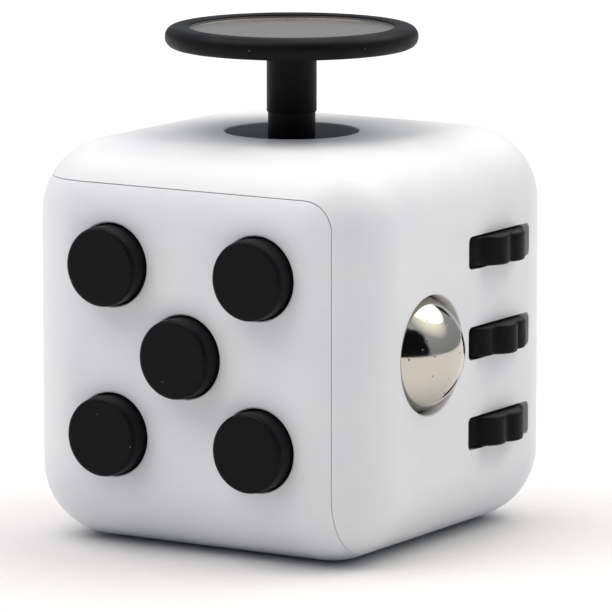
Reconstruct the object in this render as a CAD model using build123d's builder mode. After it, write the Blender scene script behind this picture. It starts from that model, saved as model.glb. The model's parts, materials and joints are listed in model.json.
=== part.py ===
"""Fidget cube: a two-part plastic shell with a different toy on each face.

Frame: millimetres, +Z up, origin at the centre of the bottom face, buttons towards -Y,
ball and thumb wheels towards +X, joystick on top.
"""

from build123d import *
from math import acos, cos, radians, sin, tan
import os

os.makedirs("parts", exist_ok=True)

# ---------------------------------------------------------------- driving dimensions
cube_size = 33.0
edge_radius = 6.2
wall = 1.6
seam_inset = 3.1          # from a face of the rear half to the seam
seam_corner = 2.6         # rounding where two seam planes meet
seam_gap = 0.06
lip_length = 1.0          # inner half of the front shell's wall reaches this far past the seam

button_pitch = 6.95
button_radius = 3.25
button_proud = 1.7
button_gap = 0.15
button_flange = 3.85

stick_hole = 5.5
stick_radius = 2.06
disc_radius = 10.4
disc_thick = 2.3
disc_middle = 40.5        # height of the disc's middle above the floor
disc_recess = 8.45
recess_depth = 0.55
pivot_height = 27.0

ball_radius = 5.0
ball_y = -5.2
ball_x = 13.8
ball_hole = 4.87

wheel_x = 12.7
wheel_y = 5.6
wheel_tip = 5.5
wheel_valley = 4.9
wheel_lobes = 10
wheel_thick = 2.4
wheel_pitch = 7.45
slot_low_y = 0.65
slot_high_y = 10.5
slot_height = 2.75
axle_radius = 1.0

dial_radius = 9.0
dial_proud = 2.0
dial_recess = 1.0
dial_hub = 2.2

rocker_width = 7.5
rocker_reach = 6.0        # half the rocker's length
rocker_tilt = 8.0         # degrees either side of the middle
rocker_pivot_y = 13.0

dish_radius = 9.3
dish_depth = 1.9

running = 0.05            # radial clearance of a shaft in its hole
clear = 0.05              # between a moving face and the face that stops it
screw_head = 1.1
screw_shank = 0.6
head_height = 0.8

# ---------------------------------------------------------------- worked-out values
half = cube_size / 2
middle_z = half
seam_at = half - seam_inset
inner_face = half - wall

upright = Plane.XY


def front_plane(y, x=0.0, z=middle_z):
    """A plane facing the button side (-Y) through y, its x along +X and its y along +Z."""
    return Plane(origin=(x, y, z), x_dir=(1, 0, 0), z_dir=(0, -1, 0))


def back_plane(y, x=0.0, z=middle_z):
    """A plane facing the rocker side (+Y)."""
    return Plane(origin=(x, y, z), x_dir=(-1, 0, 0), z_dir=(0, 1, 0))


def right_plane(x, y=0.0, z=middle_z):
    """A plane facing the ball side (+X), its x along +Y and its y along +Z."""
    return Plane(origin=(x, y, z), x_dir=(0, 1, 0), z_dir=(1, 0, 0))


def left_plane(x, y=0.0, z=middle_z):
    """A plane facing the dial side (-X)."""
    return Plane(origin=(x, y, z), x_dir=(0, -1, 0), z_dir=(-1, 0, 0))


def finish(builder, name):
    builder.part.label = name
    export_step(builder.part, f"parts/{name}.step")


# ---------------------------------------------------------------- shells
def rounded_cube(inset):
    """The cube drawn in by inset on every side, with its edges rounded about the same lines."""
    size = cube_size - 2 * inset
    with BuildPart() as block:
        with Locations((0, 0, middle_z)):
            Box(size, size, size)
        fillet(block.edges(), edge_radius - inset)
    return block.part


def away_from_origin(edge):
    return edge.center().X + edge.center().Y + edge.center().Z


def front_share(shift):
    """The space of the front shell: below, left of and in front of the three seam planes."""
    reach = cube_size
    side = reach + seam_at + shift
    seam_edges = []
    with BuildPart() as block:
        with Locations((-reach, -reach, middle_z - reach)):
            Box(side, side, side, align=(Align.MIN, Align.MIN, Align.MIN))
        for axis in (Axis.X, Axis.Y, Axis.Z):
            seam_edges.append(block.edges().filter_by(axis).sort_by(away_from_origin)[-1])
        fillet(seam_edges, seam_corner)
    return block.part


outside = rounded_cube(0)
mid_wall = rounded_cube(wall / 2)
lip_wall = rounded_cube(wall / 2 + clear)
inside = rounded_cube(wall)

button_places = {
    "upper_left": (-button_pitch, button_pitch),
    "upper_right": (button_pitch, button_pitch),
    "middle": (0, 0),
    "lower_left": (-button_pitch, -button_pitch),
    "lower_right": (button_pitch, -button_pitch),
}
plate_screws = [(0, 8.6), (0, -8.6)]
boss_radius = 1.6
plate_front = -12.2
plate_thick = 1.2

dial_boss = dial_radius + 1.6
dial_boss_thick = 1.6
recess_gap = 0.35
dish_sphere = (dish_radius**2 + dish_depth**2) / (2 * dish_depth)
dish_centre = dish_depth - dish_sphere

with BuildPart() as front_lip:
    add(lip_wall)
    add(inside, mode=Mode.SUBTRACT)
    add(front_share(lip_length), mode=Mode.INTERSECT)

# lens-shaped backing above the thumb dish
with BuildPart() as dish_backing:
    with Locations((0, 0, dish_centre)):
        Sphere(dish_sphere + wall)
    split(bisect_by=upright.offset(wall / 2), keep=Keep.TOP)

with BuildPart() as front_shell:
    add(outside)
    add(inside, mode=Mode.SUBTRACT)
    add(front_share(-seam_gap / 2), mode=Mode.INTERSECT)
    add(front_lip.part)
    add(dish_backing.part)
    # bosses for the button plate
    with BuildSketch(front_plane(-inner_face - wall / 4)):
        with Locations(*plate_screws):
            Circle(boss_radius)
    extrude(amount=-(inner_face + wall / 4 + plate_front))
    # backing behind the dial
    with BuildSketch(left_plane(-inner_face - wall / 4)):
        Circle(dial_boss)
    extrude(amount=-(wall / 4 + dial_boss_thick))
    # five button holes
    with BuildSketch(front_plane(-half)):
        with Locations(*button_places.values()):
            Circle(button_radius + button_gap)
    extrude(amount=-wall, mode=Mode.SUBTRACT)
    # dial recess and the hole for its hub
    with BuildSketch(left_plane(-half)):
        Circle(dial_radius + recess_gap)
    extrude(amount=-dial_recess, mode=Mode.SUBTRACT)
    with BuildSketch(left_plane(-half)):
        Circle(dial_hub + running)
    extrude(amount=-(wall + dial_boss_thick), mode=Mode.SUBTRACT)
    # screw holes in the plate bosses
    with BuildSketch(front_plane(plate_front)):
        with Locations(*plate_screws):
            Circle(screw_shank)
    extrude(amount=inner_face + plate_front, mode=Mode.SUBTRACT)
    # thumb dish
    with Locations((0, 0, dish_centre)):
        Sphere(dish_sphere, mode=Mode.SUBTRACT)
finish(front_shell, "front_shell")

ball_screws_z = 8.2
ball_boss_radius = 1.4
ball_foot_x = 13.3
stick_screws = 6.8
stick_boss_bottom = 29.4
bracket_screws = [(9.6, -3.6), (9.6, 3.7)]
bracket_y = 12.4
rocker_screw_x = 6.7
rocker_ear_y = 13.3
window_width = rocker_width + 0.4
window_height = 2 * rocker_reach + 1.5

# the space of the front shell's lip, cut out of the rear shell with a little room
with BuildPart() as lip_space:
    add(mid_wall)
    add(front_share(lip_length + seam_gap), mode=Mode.INTERSECT)

with BuildPart() as rear_shell:
    add(outside)
    add(inside, mode=Mode.SUBTRACT)
    add(front_share(seam_gap / 2), mode=Mode.SUBTRACT)
    add(lip_space.part, mode=Mode.SUBTRACT)
    # bosses for the ball housing, joystick housing, wheel bracket and rocker housing
    with BuildSketch(right_plane(inner_face + wall / 4, ball_y)):
        with Locations((0, ball_screws_z), (0, -ball_screws_z)):
            Circle(ball_boss_radius)
    extrude(amount=-(inner_face + wall / 4 - ball_foot_x))
    with BuildSketch(upright.offset(stick_boss_bottom)):
        with GridLocations(2 * stick_screws, 2 * stick_screws, 2, 2):
            Circle(boss_radius)
    extrude(amount=cube_size - wall * 3 / 4 - stick_boss_bottom)
    with BuildSketch(front_plane(bracket_y)):
        with Locations(*bracket_screws):
            Circle(ball_boss_radius)
    extrude(amount=-(inner_face + wall / 4 - bracket_y))
    with BuildSketch(front_plane(rocker_ear_y)):
        with Locations((rocker_screw_x, 0), (-rocker_screw_x, 0)):
            Circle(ball_boss_radius)
    extrude(amount=-(inner_face + wall / 4 - rocker_ear_y))
    # ball hole, widened inside so that the ball seats on a ring
    with BuildSketch(right_plane(half, ball_y)):
        Circle(ball_hole)
    extrude(amount=-wall, mode=Mode.SUBTRACT)
    with BuildSketch(right_plane(inner_face, ball_y)):
        Circle(ball_hole + 0.4)
    extrude(amount=0.4, taper=45, mode=Mode.SUBTRACT)
    # slots for the thumb wheels
    with BuildSketch(right_plane(half, (slot_low_y + slot_high_y) / 2)):
        with Locations((0, -wheel_pitch), (0, 0), (0, wheel_pitch)):
            RectangleRounded(slot_high_y - slot_low_y, slot_height, 0.5)
    extrude(amount=-wall, mode=Mode.SUBTRACT)
    with BuildSketch(right_plane(inner_face, wheel_y)):
        with Locations((0, -wheel_pitch), (0, 0), (0, wheel_pitch)):
            Rectangle(2 * wheel_tip, slot_height + 0.4)
    extrude(amount=wall / 2, mode=Mode.SUBTRACT)
    # joystick hole
    with BuildSketch(upright.offset(cube_size)):
        Circle(stick_hole)
    extrude(amount=-wall, mode=Mode.SUBTRACT)
    # rocker window
    with BuildSketch(back_plane(half)):
        RectangleRounded(window_width, window_height, 0.8)
    extrude(amount=-wall, mode=Mode.SUBTRACT)
    # screw holes in the bosses
    with BuildSketch(right_plane(ball_foot_x, ball_y)):
        with Locations((0, ball_screws_z), (0, -ball_screws_z)):
            Circle(screw_shank)
    extrude(amount=inner_face - ball_foot_x, mode=Mode.SUBTRACT)
    with BuildSketch(upright.offset(stick_boss_bottom)):
        with GridLocations(2 * stick_screws, 2 * stick_screws, 2, 2):
            Circle(screw_shank)
    extrude(amount=cube_size - wall - stick_boss_bottom, mode=Mode.SUBTRACT)
    with BuildSketch(front_plane(bracket_y)):
        with Locations(*bracket_screws):
            Circle(screw_shank)
    extrude(amount=-(inner_face - bracket_y), mode=Mode.SUBTRACT)
    with BuildSketch(front_plane(rocker_ear_y)):
        with Locations((rocker_screw_x, 0), (-rocker_screw_x, 0)):
            Circle(screw_shank)
    extrude(amount=-(inner_face - rocker_ear_y), mode=Mode.SUBTRACT)
finish(rear_shell, "rear_shell")


# ---------------------------------------------------------------- screws
def screws(plane, places, length):
    """Self-tapping screws whose heads stand on the plane and whose shanks go below it."""
    with BuildPart() as fixings:
        with BuildSketch(plane):
            with Locations(*places):
                Circle(screw_head)
        extrude(amount=head_height)
        with BuildSketch(plane):
            with Locations(*places):
                Circle(screw_shank)
        extrude(amount=-length)
        with BuildSketch(plane.offset(head_height)):
            with Locations(*places):
                Rectangle(1.2, 0.3)
                Rectangle(0.3, 1.2)
        extrude(amount=-0.4, mode=Mode.SUBTRACT)
    return fixings


# ---------------------------------------------------------------- push buttons
button_face = -half - button_proud
button_stop = -inner_face + clear        # front of the flange, against the wall's inside
flange_thick = 0.75
button_foot = -13.25                     # a hair clear of the dome
clicking = ["upper_left", "lower_right", "middle"]

for place, (x, z) in button_places.items():
    with BuildPart() as button:
        with BuildSketch(front_plane(button_stop, x, middle_z + z)):
            Circle(button_radius)
        extrude(amount=button_stop - button_face)
        fillet(button.edges().sort_by(Axis.Y)[0], 0.35)
        with BuildSketch(front_plane(button_stop, x, middle_z + z)):
            Circle(button_flange)
        extrude(amount=-flange_thick)
        with BuildSketch(front_plane(button_stop + flange_thick, x, middle_z + z)):
            Circle(1.2)
        extrude(amount=-(button_foot - button_stop - flange_thick))
    finish(button, f"button_{place}")

# button plate: carries the domes, screwed to the bosses inside the front face
plate_reach = 10.0
plate_corner = 2.0
with BuildPart() as button_plate:
    with BuildSketch(front_plane(plate_front)):
        RectangleRounded(2 * plate_reach, 2 * plate_reach, plate_corner)
        with Locations(*button_places.values()):
            Circle(1.0, mode=Mode.SUBTRACT)
        with Locations(*plate_screws):
            Circle(screw_shank + 0.1, mode=Mode.SUBTRACT)
    extrude(amount=-plate_thick)
finish(button_plate, "button_plate")

finish(screws(back_plane(plate_front + plate_thick), plate_screws, plate_thick + 1.8), "button_plate_screws")

# each button's return: a steel snap dome that clicks, or a silent silicone cup
dome_height = 1.0
dome_radius = 2.7
dome_skin = 0.15
dome_sphere = (dome_radius**2 + dome_height**2) / (2 * dome_height)
dome_centre = dome_sphere - dome_height
cup_skin = 0.4
cup_top = 1.4


def on_dome(sphere, share):
    """A point of the dome's section, from its foot on the plate (share 0) to its crown (share 1)."""
    foot = acos(dome_centre / sphere)
    angle = foot * (1 - share)
    return (sphere * sin(angle), dome_centre - sphere * cos(angle))


for place, (x, z) in button_places.items():
    seat = Plane(origin=(x, plate_front, middle_z + z), x_dir=(1, 0, 0), z_dir=(0, 0, 1))
    skin = dome_sphere - dome_skin
    with BuildPart() as spring_dome:
        with BuildSketch(seat):
            with BuildLine():
                if place in clicking:
                    outer = ThreePointArc([on_dome(dome_sphere, share) for share in (0, 0.5, 1)])
                    inner = ThreePointArc([on_dome(skin, share) for share in (1, 0.5, 0)])
                    Line(outer @ 1, inner @ 0)
                    Line(inner @ 1, outer @ 0)
                else:
                    Polyline(
                        (0, -dome_height),
                        (cup_top, -dome_height),
                        (dome_radius - cup_skin, -cup_skin),
                        (dome_radius, -cup_skin),
                        (dome_radius, 0),
                        (dome_radius - 2 * cup_skin, 0),
                        (cup_top - cup_skin, -dome_height + cup_skin),
                        (0, -dome_height + cup_skin),
                        close=True,
                    )
            make_face()
        revolve(axis=Axis((x, plate_front, middle_z + z), (0, 1, 0)))
    finish(spring_dome, f"snap_dome_{place}" if place in clicking else f"silicone_cup_{place}")


# ---------------------------------------------------------------- joystick
disc_bottom = disc_middle - disc_thick / 2
disc_top = disc_middle + disc_thick / 2
stem_top = disc_bottom + 1.2
collar_height = 34.6
neck_radius = 1.95

with BuildPart() as joystick_disc:
    with BuildSketch(upright.offset(disc_bottom)):
        Circle(disc_radius)
    extrude(amount=disc_thick)
    rim = joystick_disc.edges()
    fillet(rim, disc_thick / 2 - 0.05)
    with BuildSketch(upright.offset(disc_top)):
        Circle(disc_recess)
    extrude(amount=-recess_depth, mode=Mode.SUBTRACT)
    lip_edges = joystick_disc.edges().filter_by(GeomType.CIRCLE).group_by(Axis.Z)[-1]
    fillet(lip_edges, 0.15)
    with BuildSketch(upright.offset(disc_bottom)):
        Circle(stick_radius)
    extrude(amount=-(disc_bottom - collar_height))
    with BuildSketch(upright.offset(collar_height)):
        Circle(1.2)
    extrude(amount=stem_top - collar_height, mode=Mode.SUBTRACT)
finish(joystick_disc, "joystick_disc")

# stem: runs up inside the disc's shank, and carries the pivot hub with its two pins along Y
hub_radius = 3.0
hub_half = 1.6
ring_outer = 5.6
ring_inner = 4.2
ring_half = 1.2
pin_radius = 0.8
housing_inner = 6.6
housing_outer = 7.6
housing_floor = 21.8
floor_thick = 0.7

with BuildPart() as joystick_stem:
    with BuildSketch(upright.offset(pivot_height - hub_half)):
        Circle(hub_radius)
    extrude(amount=2 * hub_half)
    chamfer(joystick_stem.edges().group_by(Axis.Z)[-1], 0.6)
    with BuildSketch(upright.offset(pivot_height)):
        Circle(neck_radius)
    extrude(amount=collar_height - pivot_height)
    with BuildSketch(upright.offset(collar_height)):
        Circle(1.2)
    extrude(amount=stem_top - collar_height)
    with BuildSketch(front_plane(0, 0, pivot_height)):
        Circle(pin_radius)
    extrude(amount=ring_outer - 0.3, both=True)
finish(joystick_stem, "joystick_stem")

# gimbal ring: holds the stem's pins along Y, and turns on its own pins along X
with BuildPart() as joystick_gimbal:
    with BuildSketch(upright.offset(pivot_height - ring_half)):
        Circle(ring_outer)
    extrude(amount=2 * ring_half)
    with BuildSketch(right_plane(0, 0, pivot_height)):
        Circle(pin_radius)
    extrude(amount=housing_outer - 0.3, both=True)
    with BuildSketch(upright.offset(pivot_height - ring_half)):
        Circle(ring_inner)
    extrude(amount=2 * ring_half, mode=Mode.SUBTRACT)
    with BuildSketch(front_plane(0, 0, pivot_height)):
        Circle(pin_radius + running)
    extrude(amount=ring_outer, both=True, mode=Mode.SUBTRACT)
finish(joystick_gimbal, "joystick_gimbal")

ear_plate = 2 * (stick_screws + 1.9)
ear_bottom = stick_boss_bottom - 1.0
spring_seat = housing_floor + floor_thick

with BuildPart() as joystick_housing:
    with BuildSketch(upright.offset(housing_floor)):
        Circle(housing_outer)
    extrude(amount=cube_size - wall - housing_floor)
    with BuildSketch(upright.offset(ear_bottom)):
        RectangleRounded(ear_plate, ear_plate, 1.9)
    extrude(amount=stick_boss_bottom - ear_bottom)
    with BuildSketch(upright.offset(spring_seat)):
        Circle(housing_inner)
    extrude(amount=cube_size - wall - spring_seat, mode=Mode.SUBTRACT)
    with BuildSketch(right_plane(0, 0, pivot_height)):
        Circle(pin_radius + running)
    extrude(amount=housing_outer, both=True, mode=Mode.SUBTRACT)
    with BuildSketch(upright.offset(ear_bottom)):
        with GridLocations(2 * stick_screws, 2 * stick_screws, 2, 2):
            Circle(screw_shank + 0.1)
    extrude(amount=stick_boss_bottom - ear_bottom, mode=Mode.SUBTRACT)
    # peg that centres the spring
    with BuildSketch(upright.offset(spring_seat)):
        Circle(1.5)
    extrude(amount=0.8)
finish(joystick_housing, "joystick_housing")

ear_face = Plane(origin=(0, 0, ear_bottom), x_dir=(1, 0, 0), z_dir=(0, 0, -1))
corners = [(x * stick_screws, y * stick_screws) for x in (-1, 1) for y in (-1, 1)]
finish(screws(ear_face, corners, 2.6), "joystick_screws")


def coil(base, radius, wire, length, turns):
    """A compression spring standing on the base plane, of the given wire radius and overall length."""
    rise = length - 2 * wire
    with BuildPart() as spring:
        with BuildLine():
            foot = base.offset(wire).origin
            path = Helix(rise / turns, rise, radius, center=foot, direction=base.z_dir)
        with BuildSketch(Plane(origin=path @ 0, z_dir=path % 0)):
            Circle(wire)
        sweep(is_frenet=True)
    return spring


stick_spring_length = pivot_height - hub_half - clear - spring_seat
finish(coil(upright.offset(spring_seat), 2.2, 0.2, stick_spring_length, 4), "joystick_spring")


# ---------------------------------------------------------------- roll ball
cup_rim = 10.5
cup_back = 6.8
cup_radius = 4.2
guide_inner = 4.3
guide_outer = 5.15
guide_front = 10.2
guide_back = 1.0
stem_end = 3.4
arm_width = 5.6
arm_root = 7.6

with BuildPart() as roll_ball:
    with Locations((ball_x, ball_y, middle_z)):
        Sphere(ball_radius)
finish(roll_ball, "roll_ball")

with BuildPart() as ball_cup:
    with BuildSketch(right_plane(cup_back, ball_y)):
        Circle(cup_radius)
    extrude(amount=cup_rim - cup_back)
    with BuildSketch(right_plane(stem_end, ball_y)):
        Circle(1.5)
    extrude(amount=cup_back - stem_end)
    with Locations((ball_x, ball_y, middle_z)):
        Sphere(ball_radius + running, mode=Mode.SUBTRACT)
finish(ball_cup, "ball_cup")

# housing: a guide tube for the cup, carried by two arms from the right face's bosses
with BuildPart() as ball_housing:
    with BuildSketch(right_plane(guide_back, ball_y)):
        Circle(guide_outer)
    extrude(amount=guide_front - guide_back)
    for side in (-1, 1):
        with BuildSketch(right_plane(arm_root, ball_y, middle_z + side * (guide_outer + 0.25))):
            Rectangle(arm_width, 1.6)
        extrude(amount=guide_front - 0.6 - arm_root)
        with BuildSketch(right_plane(arm_root, ball_y, middle_z + side * (guide_outer + 0.575))):
            Rectangle(arm_width, 0.95)
        extrude(amount=ball_foot_x - arm_root)
        with BuildSketch(right_plane(ball_foot_x, ball_y, middle_z + side * (guide_outer + 2.4))):
            Rectangle(arm_width, 4.6)
        extrude(amount=-0.9)
    with BuildSketch(right_plane(guide_back + 1, ball_y)):
        Circle(guide_inner)
    extrude(amount=guide_front - guide_back - 1, mode=Mode.SUBTRACT)
    with BuildSketch(right_plane(guide_back, ball_y)):
        Circle(1.5 + 2 * running)
    extrude(amount=1, mode=Mode.SUBTRACT)
    with BuildSketch(right_plane(ball_foot_x, ball_y)):
        with Locations((0, ball_screws_z), (0, -ball_screws_z)):
            Circle(screw_shank + 0.1)
    extrude(amount=-0.9, mode=Mode.SUBTRACT)
finish(ball_housing, "ball_housing")

ball_screws = [(0, ball_screws_z), (0, -ball_screws_z)]
finish(screws(left_plane(ball_foot_x - 0.9, ball_y), ball_screws, 2.3), "ball_housing_screws")

finish(
    coil(right_plane(guide_back + 1, ball_y), 2.6, 0.25, cup_back - clear - guide_back - 1, 5),
    "ball_spring",
)


# ---------------------------------------------------------------- thumb wheels
wheel_heights = {"top": middle_z + wheel_pitch, "middle": middle_z, "bottom": middle_z - wheel_pitch}
wheel_phase = {"top": 16.0, "middle": -5.0, "bottom": 12.0}    # one lobe's angle from +X, degrees
wheel_hub = 2.2
shelf_thick = 1.0
hub_length = wheel_pitch - shelf_thick - 0.2
shelf_offsets = [-1.5, -0.5, 0.5, 1.5]


def around_axle(radius, angle):
    return (wheel_x + radius * cos(radians(angle)), wheel_y + radius * sin(radians(angle)))


lobe_step = 360 / wheel_lobes
for place, height in wheel_heights.items():
    with BuildPart() as wheel:
        with BuildSketch(upright.offset(height - wheel_thick / 2)):
            with BuildLine():
                for lobe in range(wheel_lobes):
                    tip = wheel_phase[place] + lobe * lobe_step
                    ThreePointArc(
                        around_axle(wheel_valley, tip - lobe_step / 2),
                        around_axle(wheel_tip, tip),
                        around_axle(wheel_valley, tip + lobe_step / 2),
                    )
            make_face()
        extrude(amount=wheel_thick)
        fillet(wheel.edges().filter_by(Axis.Z), 0.3)
        fillet(wheel.edges().filter_by(Axis.Z, reverse=True), 0.25)
        with BuildSketch(Plane(origin=(wheel_x, wheel_y, height - hub_length / 2))):
            Circle(wheel_hub)
        extrude(amount=hub_length)
        with BuildSketch(Plane(origin=(wheel_x, wheel_y, height - hub_length / 2))):
            Circle(axle_radius + running)
        extrude(amount=hub_length, mode=Mode.SUBTRACT)
    finish(wheel, f"thumb_wheel_{place}")

shelf_heights = [middle_z + offset * wheel_pitch for offset in shelf_offsets]
axle_low = shelf_heights[0] - shelf_thick / 2
axle_high = shelf_heights[-1] + shelf_thick / 2

with BuildPart() as wheel_axle:
    with BuildSketch(Plane(origin=(wheel_x, wheel_y, axle_low))):
        Circle(axle_radius)
    extrude(amount=axle_high - axle_low)
    chamfer(wheel_axle.edges(), 0.2)
finish(wheel_axle, "wheel_axle")

bracket_low_x = 8.2
bracket_high_x = 14.0
bracket_front = bracket_y - 1.0
with BuildPart() as wheel_bracket:
    with BuildSketch(front_plane(bracket_y, (bracket_low_x + bracket_high_x) / 2)):
        Rectangle(bracket_high_x - bracket_low_x, axle_high - axle_low)
    extrude(amount=bracket_y - bracket_front)
    for height in shelf_heights:
        with BuildSketch(upright.offset(height - shelf_thick / 2)):
            with Locations((wheel_x, (wheel_y + bracket_front) / 2)):
                Rectangle(3.0, bracket_front - wheel_y)
            with Locations((wheel_x, wheel_y)):
                Circle(1.9)
        extrude(amount=shelf_thick)
    with BuildSketch(Plane(origin=(wheel_x, wheel_y, axle_low))):
        Circle(axle_radius)
    extrude(amount=axle_high - axle_low, mode=Mode.SUBTRACT)
    with BuildSketch(front_plane(bracket_y)):
        with Locations(*bracket_screws):
            Circle(screw_shank + 0.1)
    extrude(amount=bracket_y - bracket_front, mode=Mode.SUBTRACT)
finish(wheel_bracket, "wheel_bracket")

finish(screws(front_plane(bracket_front), bracket_screws, 3.0), "wheel_bracket_screws")


# ---------------------------------------------------------------- rocker switch
# drawn flat in its own YZ outline about the pivot, then tipped to the side it rests on
rocker_crown = half + 0.3 - rocker_pivot_y        # from the pivot up to the waist of its face
rocker_end = rocker_crown + rocker_reach * tan(radians(rocker_tilt))
keel = 3.2
pivot_pin = 0.75
cheek_inner = rocker_width / 2 + 0.3
cheek_thick = 1.0
cheek_reach = 6.3
housing_back = rocker_pivot_y - keel - 1.9

tip_way = (0, -sin(radians(rocker_tilt)), cos(radians(rocker_tilt)))
tipped = Plane(origin=(0, rocker_pivot_y, middle_z), x_dir=tip_way, z_dir=(1, 0, 0))

with BuildPart() as rocker:
    with BuildSketch(tipped):
        with BuildLine():
            Polyline(
                (rocker_reach, -rocker_end),
                (0, -rocker_crown),
                (-rocker_reach, -rocker_end),
                (-rocker_reach + 0.8, -0.4),
                (-2.6, 1.2),
                (-0.5, keel),
                (0.5, keel),
                (2.6, 1.2),
                (rocker_reach - 0.8, -0.4),
                close=True,
            )
        make_face()
    extrude(amount=rocker_width / 2, both=True)
    fillet(rocker.edges().group_by(Axis.Y)[-1], 0.5)
    with BuildSketch(tipped):
        Circle(pivot_pin + running)
    extrude(amount=rocker_width / 2, both=True, mode=Mode.SUBTRACT)
finish(rocker, "rocker")

with BuildPart() as rocker_pin:
    with BuildSketch(right_plane(0, rocker_pivot_y)):
        Circle(pivot_pin)
    extrude(amount=cheek_inner + cheek_thick, both=True)
finish(rocker_pin, "rocker_pin")

ear_thick = 1.0
housing_floor_thick = 0.8
with BuildPart() as rocker_housing:
    with BuildSketch(front_plane(housing_back)):
        Rectangle(2 * (cheek_inner + cheek_thick), 2 * cheek_reach)
    extrude(amount=-(inner_face - housing_back))
    with BuildSketch(front_plane(rocker_ear_y - ear_thick)):
        SlotCenterToCenter(2 * rocker_screw_x, 2.6)
    extrude(amount=-ear_thick)
    with BuildSketch(front_plane(housing_back + housing_floor_thick)):
        Rectangle(2 * cheek_inner, 2 * cheek_reach)
    extrude(amount=-(inner_face - housing_back - housing_floor_thick), mode=Mode.SUBTRACT)
    with BuildSketch(right_plane(0, rocker_pivot_y)):
        Circle(pivot_pin)
    extrude(amount=cheek_inner + cheek_thick, both=True, mode=Mode.SUBTRACT)
    with BuildSketch(front_plane(rocker_ear_y - ear_thick)):
        with Locations((rocker_screw_x, 0), (-rocker_screw_x, 0)):
            Circle(screw_shank + 0.1)
    extrude(amount=-ear_thick, mode=Mode.SUBTRACT)
finish(rocker_housing, "rocker_housing")

rocker_screws = [(rocker_screw_x, 0), (-rocker_screw_x, 0)]
finish(screws(front_plane(rocker_ear_y - ear_thick), rocker_screws, 2.4), "rocker_housing_screws")

# leaf spring: a strip on the housing's floor, bowed up to the keel, with a bump that the keel snaps over
leaf_thick = 0.2
leaf_width = 4.0
leaf_rise = 0.85
leaf_foot = 4.4
leaf_shoulder = 1.2
leaf_base = housing_back + housing_floor_thick
strip = Plane(origin=(0, leaf_base, middle_z), x_dir=(0, 0, 1), z_dir=(-1, 0, 0))
with BuildPart() as rocker_leaf_spring:
    with BuildSketch(strip):
        with BuildLine():
            Polyline(
                (-cheek_reach + 0.3, leaf_thick / 2),
                (-leaf_foot, leaf_thick / 2),
                (-leaf_shoulder, leaf_rise - 0.35),
                (0, leaf_rise - leaf_thick / 2),
                (leaf_shoulder, leaf_rise - 0.35),
                (leaf_foot, leaf_thick / 2),
                (cheek_reach - 0.3, leaf_thick / 2),
            )
            offset(amount=leaf_thick / 2)
        make_face()
    extrude(amount=leaf_width / 2, both=True)
finish(rocker_leaf_spring, "rocker_leaf_spring")


# ---------------------------------------------------------------- spin dial
dial_back = half - dial_recess + 0.1
hub_end = inner_face - dial_boss_thick - 0.15
washer_thick = 0.6
nub_at = 5.8
nub_radius = 1.5

dial_face = -half - dial_proud
dish_reach = dial_radius - 1.6
dish_drop = 0.8
rim_round = 0.7

# turned about the X axis: its section is drawn in the XY plane through the middle
with BuildPart() as dial:
    with BuildSketch(Plane(origin=(0, 0, middle_z))):
        with BuildLine():
            Line((-dial_back, 0), (-dial_back, dial_radius))
            Line((-dial_back, dial_radius), (dial_face + rim_round, dial_radius))
            RadiusArc(
                (dial_face + rim_round, dial_radius), (dial_face, dial_radius - rim_round), -rim_round
            )
            Line((dial_face, dial_radius - rim_round), (dial_face, dish_reach))
            ThreePointArc(
                (dial_face, dish_reach),
                (dial_face + dish_drop * 0.75, dish_reach / 2),
                (dial_face + dish_drop, 0),
            )
            Line((dial_face + dish_drop, 0), (-dial_back, 0))
        make_face()
    revolve(axis=Axis((0, 0, middle_z), (1, 0, 0)))
    # nub for a fingertip
    with BuildSketch(left_plane(dial_face + 1.0, 0, middle_z + nub_at)):
        Circle(nub_radius)
    extrude(amount=1.3)
    fillet(dial.edges().sort_by(Axis.X)[0], 0.35)
    with BuildSketch(left_plane(-dial_back)):
        Circle(dial_hub)
    extrude(amount=-(dial_back - hub_end))
    with BuildSketch(left_plane(-hub_end)):
        Circle(screw_shank)
    extrude(amount=3.0, mode=Mode.SUBTRACT)
finish(dial, "dial")

with BuildPart() as dial_washer:
    with BuildSketch(left_plane(-hub_end)):
        Circle(dial_hub + 1.5)
        Circle(screw_shank + 0.1, mode=Mode.SUBTRACT)
    extrude(amount=-washer_thick)
finish(dial_washer, "dial_washer")

finish(screws(right_plane(-hub_end + washer_thick), [(0, 0)], washer_thick + 2.8), "dial_screw")
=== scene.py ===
# %% [markdown]
# # Fidget cube
# A white plastic cube, 33 mm on edge, with a different toy on each face. The working parts are drawn
# and placed already, in the frame that is loaded here, so this file only gives the object its finish:
# soft moulded edges, real plastics and metals, a pale table and studio light.

# %% Load the frame
import json
from math import acos, asin, cos, pi, radians, sin, tan

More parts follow.
